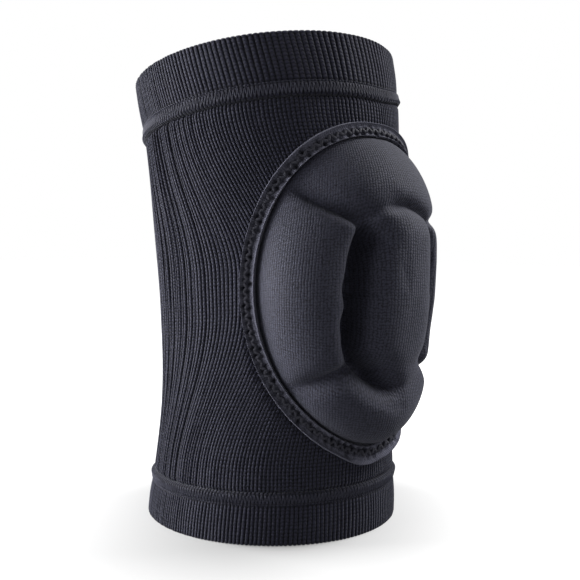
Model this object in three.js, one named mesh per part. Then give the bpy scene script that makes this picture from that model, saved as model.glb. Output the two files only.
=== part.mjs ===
// A wrestling knee pad: a ribbed knit sleeve with a turned hem at each end, and over the knee
// a moulded foam cushion of five lobes with a sewn tape round its edge.
// Millimetres, +Z up the leg. The knee faces -Y, and the lower hem stands on the plane z = 0.
// Angles round the leg start at the front of the knee and go towards +X.

import * as THREE from 'three';

// Driving dimensions of the sleeve.
const SLEEVE_HEIGHT = 240; // up the front, from rim to rim
const BACK_DROP = 24; // how much lower the top rim is behind the knee
const LEG_AXIS_Y = 6; // the cushion brings the middle of the part forward of the leg
const GAP = 0.3; // between one piece and the next

// The leg that the sleeve is knitted for: the radius over the ribs, and how far it leans back.
const LEG = [
  { height: 0, radius: 66.0, lean: 0.0 },
  { height: 26, radius: 63.6, lean: -1.5 },
  { height: 68, radius: 60.3, lean: -2.0 },
  { height: 120, radius: 60.9, lean: -1.4 },
  { height: 172, radius: 64.1, lean: 0.0 },
  { height: 212, radius: 66.6, lean: 2.7 },
  { height: 240, radius: 68.2, lean: 8.5 },
];

// The knit. Its fine ribs lie in pairs, and a rib of the solid stands for a pair.
const KNIT_WALL = 2.0;
const RIB_DEPTH = 0.6;
const SLEEVE_RIB_PAIRS = 104;
const WALE_PULL = 0.62; // radians: how strongly the cushion draws the ribs beside it towards itself
const WALE_REACH = 92; // how far above and below the cushion's middle that goes on
const SLEEVE_ROWS = 9;
const LINING_ROWS = 6; // rows of the smooth inner face
const LINING_POINTS = 52; // points round the smooth inner face

// The hems: cloth turned in and sewn down, so two layers thick, with a raised seam at the sleeve.
const HEM_WALL = 3.2;
const TOP_HEM = { rim: SLEEVE_HEIGHT, inwards: -1, height: 29.6, ribPairs: 84 };
const BOTTOM_HEM = { rim: 0, inwards: 1, height: 25.6, ribPairs: 108 };
const HEM_SECTION = [
  { from: 'rim', along: 0, out: 0.9 - HEM_WALL, ribbed: false },
  { from: 'rim', along: 0, out: -0.9, ribbed: false },
  { from: 'rim', along: 1.0, out: 0, ribbed: true },
  { from: 'seam', along: 7.5, out: 0, ribbed: true },
  { from: 'seam', along: 5.5, out: 0.8, ribbed: false },
  { from: 'seam', along: 1.5, out: 1.2, ribbed: false },
  { from: 'seam', along: 0, out: 0.3, ribbed: false },
  { from: 'seam', along: 0, out: -HEM_WALL, ribbed: false },
  { from: 'rim', along: 0.9, out: -HEM_WALL, ribbed: false },
];

// The oval that the cushion and its binding fill: half sizes at the binding's outer edge,
// wider towards the top by the egg share.
const OVAL = { middle: 118, width: 62.5, height: 82, egg: 0.16 };
const BINDING_WIDTH = { side: 5.8, end: 8.2 };
const SEAT = 0.55; // how far the cushion and the binding stand off the ribs behind them
const BINDING_POINTS = 72; // round the oval
const BINDING_SECTION = [
  { inset: 0, out: SEAT },
  { inset: 0, out: 1.9 },
  { inset: 0.12, out: 2.6 },
  { inset: 0.34, out: 2.0 },
  { inset: 0.7, out: 1.8 },
  { inset: 0.88, out: 2.6 },
  { inset: 1, out: 2.2 },
  { inset: 1, out: SEAT },
];

// The cushion: a centre lobe, and four lobes round it between a groove and the cushion's foot.
// The lobes' angles go round the oval from +X towards the top, in degrees. A crown is the most
// that a lobe stands off the ribs, and the peak is where, as a share of the way to the foot.
const FOOT_INSET = 1.06;
const FOOT_THICKNESS = 2.4;
const CENTRE_LOBE = { width: 21, height: 41, squareness: 3.5, crown: 26.5, roundness: 4 };
const GROOVE_FLOOR = 11; // height of the groove round the centre lobe
const SIDE_LOBES = [
  { name: 'right', from: -33, to: 45, crown: 22.5, peak: 0.4 },
  { name: 'top', from: 45, to: 135, crown: 24, peak: 0.2 },
  { name: 'left', from: 135, to: 213, crown: 22.5, peak: 0.4 },
  { name: 'bottom', from: 213, to: 327, crown: 23.5, peak: 0.22 },
];
const GROOVE_ROUNDNESS = 3.6; // of a lobe's shoulder at the groove
const FOOT_ROUNDNESS = 1.85; // of its fall to the foot
const VALLEY = 0.55; // how much of a lobe's rise is left in the valley between it and the next
const VALLEY_ROUNDNESS = 2.6;
const LOBE_STEPS = 16;
const CENTRE_RINGS = 5;
const SIDE_RINGS = 8;
const BACK_RINGS = 5;

const legLine = new THREE.CubicInterpolant(
  LEG.map((row) => row.height),
  LEG.flatMap((row) => [row.radius, row.lean]),
  2,
);

/** A point of the sleeve at an angle round the leg and a height up its front, moved out. */
function onLeg(angle, height, out) {
  const [radius, lean] = legLine.evaluate(height);
  const reach = radius + out;
  const rise = Math.sin((Math.PI / 2) * (height / SLEEVE_HEIGHT));
  const drop = (BACK_DROP * rise * (1 - Math.cos(angle))) / 2;
  return new THREE.Vector3(reach * Math.sin(angle), lean - reach * Math.cos(angle), height - drop);
}

/** A point over the sleeve, across and up from the middle of the cushion. */
function onKnee(spot, out) {
  const height = OVAL.middle + spot.y;
  const [radius] = legLine.evaluate(height);
  return onLeg(spot.x / radius, height, out);
}

/** Evenly spaced numbers from one end to the other, both ends included. */
function steps(start, end, count) {
  return Array.from({ length: count + 1 }, (_, i) => start + ((end - start) * i) / count);
}

/** A smooth ring round the leg. */
function plainRing(height, out, points) {
  return steps(0, 2 * Math.PI, points).slice(0, -1).map((angle) => onLeg(angle, height, out));
}

/** A ring over crests and valleys of the ribs, which the cushion draws towards itself. */
function ribbedRing(height, out, ribPairs) {
  const away = Math.min(1, Math.abs(height - OVAL.middle) / WALE_REACH);
  const pull = WALE_PULL * Math.cos((Math.PI / 2) * away) ** 2;
  const wales = steps(0, 2 * Math.PI, 2 * ribPairs).slice(0, -1);
  return wales.map((wale, i) => {
    const depth = i % 2 ? RIB_DEPTH : 0;
    const drawn = (pull * Math.sin(wale) * (1 + Math.cos(wale))) / 2;
    return onLeg(wale - drawn, height, out - depth);
  });
}

/**
 * A surface through rings of points that all run the same way round. Neighbouring rings may
 * have different numbers of points, and a ring of one point is a pole.
 */
function skin(rings) {
  const triangles = [];
  let start = 0;
  for (let ring = 0; ring < rings.length - 1; ring++) {
    const near = rings[ring].length;
    const far = rings[ring + 1].length;
    const nearSteps = near > 1 ? near : 0;
    const farSteps = far > 1 ? far : 0;
    let i = 0;
    let j = 0;
    while (i < nearSteps || j < farSteps) {
      const a = start + (i % near);
      const b = start + near + (j % far);
      const nearNext = j === farSteps || (i < nearSteps && (i + 1) / nearSteps <= (j + 1) / farSteps);
      if (nearNext) {
        i++;
        triangles.push(a, start + (i % near), b);
      } else {
        j++;
        triangles.push(a, start + near + (j % far), b);
      }
    }
    start += near;
  }
  const geometry = new THREE.BufferGeometry().setFromPoints(rings.flat());
  geometry.setIndex(triangles);
  geometry.computeVertexNormals();
  return geometry;
}

/** A closed band: its rings go up the outside and down the inside to the first one again. */
function band(rings) {
  return skin([...rings, rings[0]]);
}

function sleeveGeometry() {
  const bottom = BOTTOM_HEM.height + GAP;
  const top = SLEEVE_HEIGHT - TOP_HEM.height - GAP;
  const outside = steps(bottom, top, SLEEVE_ROWS).map((height) =>
    ribbedRing(height, 0, SLEEVE_RIB_PAIRS),
  );
  const inside = steps(top, bottom, LINING_ROWS).map((height) =>
    plainRing(height, -KNIT_WALL, LINING_POINTS),
  );
  return band([...outside, ...inside]);
}

function hemGeometry(hem) {
  const rings = HEM_SECTION.map((row) => {
    const along = row.from === 'rim' ? row.along : hem.height - row.along;
    const height = hem.rim + hem.inwards * along;
    return row.ribbed
      ? ribbedRing(height, row.out, hem.ribPairs)
      : plainRing(height, row.out, LINING_POINTS);
  });
  return band(hem.inwards > 0 ? rings : rings.reverse());
}

/** A point of the oval, drawn in from its edge by a share of the binding's width. */
function onOval(turn, inset) {
  const across = (OVAL.width - inset * BINDING_WIDTH.side) * Math.cos(turn);
  const up = (OVAL.height - inset * BINDING_WIDTH.end) * Math.sin(turn);
  return new THREE.Vector2(across * (1 + OVAL.egg * Math.sin(turn)), up);
}

function bindingGeometry() {
  const turns = steps(0, 2 * Math.PI, BINDING_POINTS).slice(0, -1);
  const rings = BINDING_SECTION.map((row) =>
    turns.map((turn) => onKnee(onOval(turn, row.inset), row.out)),
  );
  return band(rings);
}

/** 1 in the middle of a lobe and 0 at its edges, at -1 and 1, with round shoulders. */
function shoulder(share, roundness) {
  return Math.max(0, 1 - Math.abs(share) ** roundness) ** (1 / roundness);
}

/** The edge of the centre lobe, a rectangle with well rounded corners. */
function onCentreEdge(turn) {
  const power = 2 / CENTRE_LOBE.squareness;
  const across = Math.sign(Math.cos(turn)) * Math.abs(Math.cos(turn)) ** power;
  const up = Math.sign(Math.sin(turn)) * Math.abs(Math.sin(turn)) ** power;
  return new THREE.Vector2(CENTRE_LOBE.width * across, CENTRE_LOBE.height * up);
}

/** A point of the centre lobe, a share of the way from its middle to its edge. */
function onCentreLobe(turn, share) {
  const rise = (CENTRE_LOBE.crown - GROOVE_FLOOR) * shoulder(share, CENTRE_LOBE.roundness);
  return onKnee(onCentreEdge(turn).multiplyScalar(share), GROOVE_FLOOR + rise);
}

/** A point of a side lobe: across it from -1 to 1, and from the groove, 0, to the foot, 1. */
function onSideLobe(lobe, across, share) {
  const turn = lobeTurn(lobe, across);
  const spot = onCentreEdge(turn).lerp(onOval(turn, FOOT_INSET), share);
  const floor = THREE.MathUtils.lerp(GROOVE_FLOOR, FOOT_THICKNESS, share);
  const swell = VALLEY + (1 - VALLEY) * shoulder(across, VALLEY_ROUNDNESS);
  const beforePeak = shoulder((lobe.peak - share) / lobe.peak, GROOVE_ROUNDNESS);
  const afterPeak = shoulder((share - lobe.peak) / (1 - lobe.peak), FOOT_ROUNDNESS);
  const dome = share < lobe.peak ? beforePeak : afterPeak;
  return onKnee(spot, floor + (lobe.crown - floor) * swell * dome);
}

/** The angle round the oval of a place across a side lobe, from -1 to 1. */
function lobeTurn(lobe, across) {
  const middle = (lobe.from + lobe.to) / 2;
  return THREE.MathUtils.degToRad(middle + (across * (lobe.to - lobe.from)) / 2);
}

function cushionGeometry() {
  const places = SIDE_LOBES.flatMap((lobe) =>
    steps(-1, 1, LOBE_STEPS).slice(0, -1).map((step) => {
      const across = Math.sin((step * Math.PI) / 2);
      return { lobe, across, turn: lobeTurn(lobe, across) };
    }),
  );
  const back = steps(0, 1, BACK_RINGS).slice(1).map((share) =>
    places.map(({ turn }) => onKnee(onOval(turn, FOOT_INSET).multiplyScalar(share), SEAT)),
  );
  const sides = steps(1, 0, SIDE_RINGS).map((step) => {
    const share = (1 - Math.cos(Math.PI * step)) / 2;
    return places.map(({ lobe, across }) => onSideLobe(lobe, across, share));
  });
  const centre = steps(1, 0, CENTRE_RINGS).slice(1, -1).map((step) =>
    places.map(({ turn }) => onCentreLobe(turn, Math.sin((step * Math.PI) / 2))),
  );
  const middle = new THREE.Vector2();
  const crown = [onKnee(middle, CENTRE_LOBE.crown)];
  return skin([[onKnee(middle, SEAT)], ...back, ...sides, ...centre, crown]);
}

const knit = new THREE.MeshStandardMaterial({ color: 0x34343e, roughness: 0.95, metalness: 0 });
const hemKnit = new THREE.MeshStandardMaterial({ color: 0x25252c, roughness: 0.95, metalness: 0 });
const cover = new THREE.MeshStandardMaterial({ color: 0x3b3b46, roughness: 0.9, metalness: 0 });
const tape = new THREE.MeshStandardMaterial({ color: 0x30303a, roughness: 0.9, metalness: 0 });

const leg = new THREE.Group();
leg.position.y = LEG_AXIS_Y;

function addPiece(name, geometry, material) {
  const piece = new THREE.Mesh(geometry, material);
  piece.name = name;
  leg.add(piece);
}

addPiece('knit_sleeve', sleeveGeometry(), knit);
addPiece('top_cuff', hemGeometry(TOP_HEM), hemKnit);
addPiece('bottom_cuff', hemGeometry(BOTTOM_HEM), hemKnit);
addPiece('knee_cushion', cushionGeometry(), cover);
addPiece('cushion_binding', bindingGeometry(), tape);

const kneePad = new THREE.Group();
kneePad.add(leg);

export default kneePad;
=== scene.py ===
from functools import partial
import bpy
import numpy as np
from mathutils import Matrix


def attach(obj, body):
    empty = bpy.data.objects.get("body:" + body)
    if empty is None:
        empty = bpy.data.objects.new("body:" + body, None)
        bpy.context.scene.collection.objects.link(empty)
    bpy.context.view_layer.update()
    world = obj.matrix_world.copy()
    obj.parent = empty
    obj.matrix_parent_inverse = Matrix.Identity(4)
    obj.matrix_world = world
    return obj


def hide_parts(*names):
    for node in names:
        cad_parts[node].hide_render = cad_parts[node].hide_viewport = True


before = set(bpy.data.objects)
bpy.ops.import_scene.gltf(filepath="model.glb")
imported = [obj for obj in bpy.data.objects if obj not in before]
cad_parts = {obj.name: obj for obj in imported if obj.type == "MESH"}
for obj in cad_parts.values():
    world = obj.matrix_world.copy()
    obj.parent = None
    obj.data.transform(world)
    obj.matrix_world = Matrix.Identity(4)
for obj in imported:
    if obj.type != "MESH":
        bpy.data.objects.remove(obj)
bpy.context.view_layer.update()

# The knit sleeve
# A tube of fine rib knit about 2 mm thick, narrowest at the knee and longer in front than behind.
# Its ribs run up the leg, and the cushion sewn to its front draws the ribs beside it towards itself.
millimetre = 0.001
sleeve_height = 240.0
back_drop = 22.5
leg_axis_y = 6.0
leg_heights = np.array([0.0, 26.0, 68.0, 120.0, 172.0, 212.0, 240.0])
leg_radii = np.array([66.0, 63.6, 60.3, 60.9, 64.1, 66.6, 68.2])
leg_leans = np.array([0.0, -1.5, -2.0, -1.4, 0.0, 2.7, 8.5])
cushion_middle = 118.0
top_hem_height = 29.6
bottom_hem_height = 25.6
hem_overlap = 0.3
knit_wall = 2.0
sleeve_ribs = 228
columns_per_rib = 7
course_pitch = 1.75
# A step goes from 0 at its first number to 1 as far on as its second says, backwards if below 0.
seam_rise = 7.0
seam_rise_step = (195.0, 15.0)
seam_turn_steps = ((0.09, 0.79), (3.0, -1.2))
pull_most = 0.62
pull_steps = {"above": (92.0, -78.0), "below": (-84.0, 80.0)}
rib_crowding = 0.08
rib_bunching = 0.06
rib_bunching_step = (10.0, 40.0)
rib_wander = {"most": 0.004, "height": 17.0, "swirl": 23, "waves": 11}
oval_width = 62.5
tent_height = 81.5
tent_size = 70.0
tent_lift = {"most": 2.0, "inner": 4.5, "outer": 8.0}
slack_back = {"starts": 0.55, "over": 0.25}
tucks = np.array([0.0, 0.5, 1.2, 2.2])
tuck_depth = 1.1
tuck_reach = 1.2
tuck_end = 4.0
outside_rows = 42
inside_rows = 7


def up_the_leg(values, height):
    """A smooth line through the values at the leg's heights."""
    slopes = np.diff(values) / np.diff(leg_heights)
    middle = (slopes[:-1] + slopes[1:]) / 2
    tangents = np.concatenate([slopes[:1], middle, slopes[-1:]])
    span = np.clip(np.searchsorted(leg_heights, height) - 1, 0, len(slopes) - 1)
    length = np.diff(leg_heights)[span]
    share = (height - leg_heights[span]) / length
    start = values[span] * (1 + 2 * share) * (1 - share) ** 2
    end = values[span + 1] * (3 - 2 * share) * share**2
    leaving = tangents[span] * length * share * (1 - share) ** 2
    reaching = tangents[span + 1] * length * share**2 * (share - 1)
    return start + end + leaving + reaching


def ease(share):
    """A smooth step from 0 to 1."""
    share = np.clip(share, 0, 1)
    return share * share * (3 - 2 * share)


def stepped(value, start, length):
    """A smooth step from 0 at the start to 1 a length further on, or back."""
    return ease((value - start) / length)


def from_front(turn):
    """The turn from the front of the leg, to the left or right."""
    return (turn + np.pi) % (2 * np.pi) - np.pi


def seam_lift(turn, height):
    """How much higher the upper seam runs beside the cushion, where the hem is narrower."""
    begins, ends = (stepped(from_front(turn), *step) for step in seam_turn_steps)
    by_seam = stepped(height, *seam_rise_step) * stepped(height, sleeve_height, -top_hem_height)
    return seam_rise * (begins * ends) * by_seam


def on_leg(turn, height, out):
    """Points at a turn round the leg from its front and a height up it, moved out; in metres."""
    height = height + seam_lift(turn, height)
    reach = up_the_leg(leg_radii, height) + out
    rise = np.sin(np.pi / 2 * height / sleeve_height)
    drop = back_drop * rise * (1 - np.cos(turn)) / 2
    across = reach * np.sin(turn)
    deep = leg_axis_y + up_the_leg(leg_leans, height) - reach * np.cos(turn)
    return np.stack(np.broadcast_arrays(across, deep, height - drop), axis=-1) * millimetre


def drawn_wales(turn, height):
    """The turn at which a rib lies, once the cushion has drawn it in, with a little wander."""
    above = height - cushion_middle
    upper, lower = (stepped(above, *pull_steps[half]) for half in ("above", "below"))
    pull = pull_most * np.where(above > 0, upper, lower)
    bunching = rib_bunching * stepped(above, *rib_bunching_step)
    swirl = np.sin(height / rib_wander["height"] + rib_wander["swirl"] * np.sin(turn))
    wander = rib_wander["most"] * swirl * np.sin(rib_wander["waves"] * turn)
    drawn = (rib_crowding - pull * (1 + np.cos(turn)) / 2) * np.sin(turn)
    return turn + drawn + bunching * np.sin(2 * turn) + wander


def cushion_tent(turn, height):
    """How far the cushion's edge lifts the sleeve beside it."""
    across = from_front(turn) * up_the_leg(leg_radii, height)
    up = height - cushion_middle
    away = (np.hypot(across / oval_width, up / tent_height) - 1) * tent_size
    rising = ease((away + tent_lift["inner"]) / tent_lift["inner"])
    return tent_lift["most"] * rising * np.exp(-np.maximum(0, away) / tent_lift["outer"])


def band_mesh(name, points, places):
    """A mesh of a grid of points that closes on itself both ways, with a place on the cloth for each."""
    rows, columns = points.shape[:2]
    row, column = np.meshgrid(np.arange(rows), np.arange(columns), indexing="ij")
    next_row, next_column = (row + 1) % rows, (column + 1) % columns
    corners = [(row, column), (row, next_column), (next_row, next_column), (next_row, column)]
    faces = np.stack([r * columns + c for r, c in corners], axis=-1).reshape(-1, 4)
    mesh = bpy.data.meshes.new(name)
    mesh.from_pydata(points.reshape(-1, 3), [], faces)
    place_corners = [(row, column), (row, column + 1), (row + 1, column + 1), (row + 1, column)]
    spots = np.stack([places[r, c] for r, c in place_corners], axis=2)
    mesh.uv_layers.new(name="cloth").data.foreach_set("uv", spots.astype(np.float32).ravel())
    mesh.shade_smooth()
    return mesh


def mark_points(mesh, shape, marks):
    """Named values for a grid of points, kept with the mesh."""
    for label, values in marks.items():
        spread = np.broadcast_to(values, shape).astype(np.float32)
        mesh.attributes.new(label, "FLOAT", "POINT").data.foreach_set("value", spread.ravel())


def new_piece(name, data):
    """An object in the scene that shows the data."""
    piece = bpy.data.objects.new(name, data)
    bpy.context.collection.objects.link(piece)
    return piece


def knit_tube(name, ribs, rows, drawn):
    """Rib knit through rows of height, distance out and share of ribbing, closed as a band."""
    height, out, ribbing = (rows[:, i : i + 1] for i in range(3))
    rib = np.arange(ribs * columns_per_rib + 1) / columns_per_rib
    turn = drawn(2 * np.pi * rib[None, :] / ribs, height)
    lift = cushion_tent(turn[:, :-1], height) * (out > -knit_wall)
    points = on_leg(turn[:, :-1], height, out + lift)
    steps = np.hypot(np.diff(rows[:, 0], append=rows[0, 0]), np.diff(rows[:, 1], append=rows[0, 1]))
    course = np.concatenate([[0], np.cumsum(steps)]) / course_pitch
    places = np.stack(np.broadcast_arrays(rib[None, :], course[:, None]), axis=-1)
    mesh = band_mesh(name, points, places)
    behind = np.abs(np.sin(turn[:, :-1] / 2))
    slack = np.clip((behind - slack_back["starts"]) / slack_back["over"], 0, 1)
    mark_points(mesh, points.shape[:2], {"rib": rib[None, :-1], "ribbing": ribbing, "slack": slack})
    return new_piece(name, mesh)


def add_node(tree, kind, inputs=None, **settings):
    """A node with its settings, its fixed inputs and the links into it."""
    made = tree.nodes.new(kind)
    for label, value in settings.items():
        setattr(made, label, value)
    for socket, value in (inputs or {}).items():
        if isinstance(value, bpy.types.NodeSocket):
            tree.links.new(value, made.inputs[socket])
        else:
            made.inputs[socket].default_value = value
    return made


def maths(operation, *values):
    """The output of one Math node, in the tree that its values come from."""
    tree = next(value.id_data for value in values if isinstance(value, bpy.types.NodeSocket))
    return add_node(tree, "ShaderNodeMath", dict(enumerate(values)), operation=operation).outputs[0]


plus, minus, times, power = (partial(maths, kind) for kind in ("ADD", "SUBTRACT", "MULTIPLY", "POWER"))


def named_value(tree, label):
    """The mesh's own value of that name at each point."""
    return add_node(tree, "GeometryNodeInputNamedAttribute", {"Name": label}, data_type="FLOAT").outputs[0]


def start_tree(name, sizes):
    """A Geometry Nodes tree with a geometry in and out, its named sizes, and a material."""
    tree = bpy.data.node_groups.new(name, "GeometryNodeTree")
    tree.interface.new_socket("Geometry", in_out="INPUT", socket_type="NodeSocketGeometry")
    for label, value in sizes.items():
        socket = tree.interface.new_socket(label, in_out="INPUT", socket_type="NodeSocketFloat")
        socket.default_value = value
    tree.interface.new_socket("Material", in_out="INPUT", socket_type="NodeSocketMaterial")
    tree.interface.new_socket("Geometry", in_out="OUTPUT", socket_type="NodeSocketGeometry")
    return tree, tree.nodes.new("NodeGroupInput").outputs


def end_tree(tree, geometry, material):
    """Real geometry in the given material, as the tree's output."""
    whole = add_node(tree, "GeometryNodeRealizeInstances", {0: geometry})
    smooth = add_node(tree, "GeometryNodeSetShadeSmooth", {"Geometry": whole.outputs[0]})
    dressed = add_node(
        tree, "GeometryNodeSetMaterial", {"Geometry": smooth.outputs[0], "Material": material}
    )
    add_node(tree, "NodeGroupOutput", {0: dressed.outputs[0]})


def end_moved(tree, sizes, move, crest):
    """Points moved out of the surface and marked with how lit they are, as the tree's output."""
    outwards = add_node(tree, "GeometryNodeInputNormal").outputs[0]
    offset = add_node(tree, "ShaderNodeVectorMath", {0: outwards, "Scale": move}, operation="SCALE")
    marked = add_node(
        tree,
        "GeometryNodeStoreNamedAttribute",
        {"Geometry": sizes["Geometry"], "Name": "crest", "Value": crest},
        data_type="FLOAT",
        domain="POINT",
    )
    places = {"Geometry": marked.outputs[0], "Offset": offset.outputs[0]}
    end_tree(tree, add_node(tree, "GeometryNodeSetPosition", places).outputs[0], sizes["Material"])


def make_real(piece, tree, values):
    """Runs a tree on a piece with its own sizes and keeps the result as a plain mesh."""
    modifier = piece.modifiers.new(tree.name, "NODES")
    modifier.node_group = tree
    for item in tree.interface.items_tree:
        if item.in_out == "INPUT" and item.name in values:
            modifier[item.identifier] = values[item.name]
    shown = piece.evaluated_get(bpy.context.evaluated_depsgraph_get())
    mesh = bpy.data.meshes.new_from_object(shown)
    if piece.type == "MESH":
        piece.modifiers.remove(modifier)
        piece.data = mesh
        return piece
    name = piece.name
    bpy.data.objects.remove(piece)
    return new_piece(name, mesh)


rib_tree, sizes = start_tree(
    "rib_knit",
    {"Ribs": 208.0, "Rib Depth": 0.6, "Rib Roundness": 0.45, "Fold Depth": 0.6, "Crease Depth": 1.0},
)
named = {label: named_value(rib_tree, label) for label in ("rib", "ribbing", "slack")}
ribs_per_pleat = 3
pleat_drift = 14.0
pleat_sharpness = 0.7
pleat_strength = 1.6
rib_unevenness = 1.5
crest_sharpness = 1.6
pleat_shade = 0.6
fold_stretch = 0.8
half_turn = times(named["rib"], np.pi)
ridge = maths("ABSOLUTE", maths("SINE", half_turn))
crest = power(ridge, sizes["Rib Roundness"])
whole_turns = times(named["rib"], 2 * np.pi)
round_turn = maths("DIVIDE", whole_turns, sizes["Ribs"])
position = add_node(rib_tree, "GeometryNodeInputPosition")
heights = add_node(rib_tree, "ShaderNodeSeparateXYZ", {0: position.outputs[0]})
cloth_spot = add_node(
    rib_tree,
    "ShaderNodeCombineXYZ",
    {
        0: maths("COSINE", round_turn),
        1: maths("SINE", round_turn),
        2: times(heights.outputs["Z"], fold_stretch),
    },
)
folds, drift = (
    add_node(
        rib_tree,
        "ShaderNodeTexNoise",
        {"Vector": cloth_spot.outputs[0], "W": seed, "Scale": scale, "Detail": 1.0, "Roughness": 0.5},
        noise_dimensions="4D",
    ).outputs[0]
    for seed, scale in ((3.7, 9.0), (8.1, 3.0))
)
fold = minus(folds, 0.5)
even_pleats = times(named["rib"], np.pi / ribs_per_pleat)
drifting = times(drift, pleat_drift)
pleat_wave = maths("SINE", plus(even_pleats, drifting))
pleat = power(maths("ABSOLUTE", pleat_wave), pleat_sharpness)
crease = times(minus(1.0, pleat), named["slack"])
crease_share = times(folds, pleat_strength)
crease_share = times(named["ribbing"], crease_share)
crease = times(crease, crease_share)
valley = minus(crest, 1.0)
uneven = plus(1.0, times(fold, rib_unevenness))
sunk = times(valley, sizes["Rib Depth"])
rib_move = times(sunk, uneven)
fold_move = times(fold, sizes["Fold Depth"])
move = times(plus(rib_move, fold_move), named["ribbing"])
move = minus(move, times(crease, sizes["Crease Depth"]))
move = times(move, millimetre)
# Painted shade, kept as the crest mark: the rib valleys are darkened, the creases at the back are
# darkened, and the knit is darker still where it is not ribbed: inside the sleeve, on the hems' sewn band
# under the loops and round their edges.
pleat_light = minus(1.0, times(crease, pleat_shade))
painted_rib_light = power(crest, crest_sharpness)
painted_rib_light = times(painted_rib_light, pleat_light)
unribbed_shade = plus(times(named["ribbing"], 0.5), 0.5)
painted_rib_light = times(painted_rib_light, unribbed_shade)
end_moved(rib_tree, sizes, move, painted_rib_light)

# How the loops of a knit lie, shared by the sleeve, the hems, the cover and the tape:
# columns of loops with a dark line between them, each loop a bead that slants to its column's edge.
loops = bpy.data.node_groups.new("knit_loops", "ShaderNodeTree")
for label, value in (("Bead", 0.5), ("Column", 0.5), ("Slant", 0.3), ("Jitter", 0.3), ("Fuzz", 1.5)):
    socket = loops.interface.new_socket(label, in_out="INPUT", socket_type="NodeSocketFloat")
    socket.default_value = value
for label in ("Height", "Tone"):
    loops.interface.new_socket(label, in_out="OUTPUT", socket_type="NodeSocketFloat")
loop_sizes = loops.nodes.new("NodeGroupInput").outputs


def yarn_noise(tree, scale, detail):
    """Fine noise all over a piece."""
    place = add_node(tree, "ShaderNodeTexCoord").outputs["Object"]
    inputs = {"Vector": place, "Scale": scale, "Detail": detail}
    return add_node(tree, "ShaderNodeTexNoise", inputs).outputs


drift = yarn_noise(loops, scale=330.0, detail=1.0)
drift_parts = add_node(loops, "ShaderNodeSeparateXYZ", {0: drift["Color"]})
cloth_place = add_node(loops, "ShaderNodeUVMap", uv_map="cloth")
cloth_parts = add_node(loops, "ShaderNodeSeparateXYZ", {0: cloth_place.outputs[0]})


def drifted(part, wander, reach):
    """A place on the cloth, moved a little to and fro."""
    shift = times(minus(wander, 0.5), reach)
    return plus(part, times(shift, loop_sizes["Jitter"]))


def weakened(value, strength):
    """The value where the strength is 1, and 1 where it is 0."""
    lost = times(minus(1.0, value), strength)
    return minus(1.0, lost)


column_reach = 1.0
course_reach = 2.5
bead_roundness = 0.7
column_roundness = 3.0
fuzz_height = 0.25
column = drifted(cloth_parts.outputs["X"], drift_parts.outputs["X"], column_reach)
in_column = times(maths("FRACT", column), 2.0)
from_middle = maths("ABSOLUTE", minus(in_column, 1.0))
course = drifted(cloth_parts.outputs["Y"], drift_parts.outputs["Y"], course_reach)
slanted = plus(course, times(from_middle, loop_sizes["Slant"]))
bead_wave = maths("SINE", times(slanted, np.pi))
round_bead = power(maths("ABSOLUTE", bead_wave), bead_roundness)
round_column = minus(1.0, power(from_middle, column_roundness))
loop_height = times(round_column, weakened(round_bead, loop_sizes["Bead"]))
column_tone = weakened(round_column, loop_sizes["Column"])
loop_tone = times(column_tone, weakened(round_bead, loop_sizes["Bead"]))
fuzz = yarn_noise(loops, scale=1100.0, detail=2.0)[0]
fuzz_shift = minus(fuzz, 0.5)
fuzz_tone = plus(times(fuzz_shift, loop_sizes["Fuzz"]), 1.0)
add_node(
    loops,
    "NodeGroupOutput",
    {
        "Height": plus(loop_height, times(fuzz, fuzz_height)),
        "Tone": times(loop_tone, fuzz_tone),
    },
)

lit_share = 0.8
yarn_sheen = {"Sheen Weight": 0.14, "Sheen Roughness": 0.45, "Sheen Tint": (0.8, 0.82, 0.95, 1.0)}


def new_material(name, values):
    """A material whose shader has the given inputs, with its node tree and that shader."""
    material = bpy.data.materials.new(name)
    material.use_nodes = True
    shader = material.node_tree.nodes["Principled BSDF"]
    for label, value in values.items():
        shader.inputs[label].default_value = value
    return material, material.node_tree, shader


def knit_material(name, dark, light, relief, shaded, roughness=0.9, shine=0.25, **pattern):
    """Yarn of one colour in loops: darker between the loops and, if shaded, darkened by painted shade down
    in the ribs and wherever the mesh's crest mark is low.
    """
    finish = {"Roughness": roughness, "Specular IOR Level": shine, **yarn_sheen}
    material, tree, cloth = new_material(name, finish)
    knit = add_node(tree, "ShaderNodeGroup", {}, node_tree=loops)
    for label, value in pattern.items():
        knit.inputs[label].default_value = value
    tone = knit.outputs["Tone"]
    if shaded:
        # Painted shade: the tone is darkened where the mesh's crest mark is low.
        depth = add_node(tree, "ShaderNodeAttribute", attribute_name="crest")
        painted_shading = plus(times(depth.outputs["Fac"], lit_share), 1.0 - lit_share)
        tone = times(tone, painted_shading)
    colour = add_node(tree, "ShaderNodeMix", {"Factor": tone, "A": dark, "B": light}, data_type="RGBA")
    tree.links.new(colour.outputs["Result"], cloth.inputs["Base Color"])
    relief_inputs = {"Height": knit.outputs["Height"], "Distance": relief * millimetre}
    bump = add_node(tree, "ShaderNodeBump", relief_inputs)
    tree.links.new(bump.outputs[0], cloth.inputs["Normal"])
    return material


sleeve_bottom = bottom_hem_height - hem_overlap
sleeve_top = sleeve_height - top_hem_height + hem_overlap
outside = np.concatenate(
    [
        sleeve_bottom + tucks,
        np.linspace(sleeve_bottom + tuck_end, sleeve_top - tuck_end, outside_rows),
        sleeve_top - tucks[::-1],
    ]
)
from_seam = np.minimum(outside - sleeve_bottom, sleeve_top - outside)
tucked = -tuck_depth * np.exp(-((from_seam / tuck_reach) ** 2))
inside = np.linspace(sleeve_top, sleeve_bottom, inside_rows)
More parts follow.
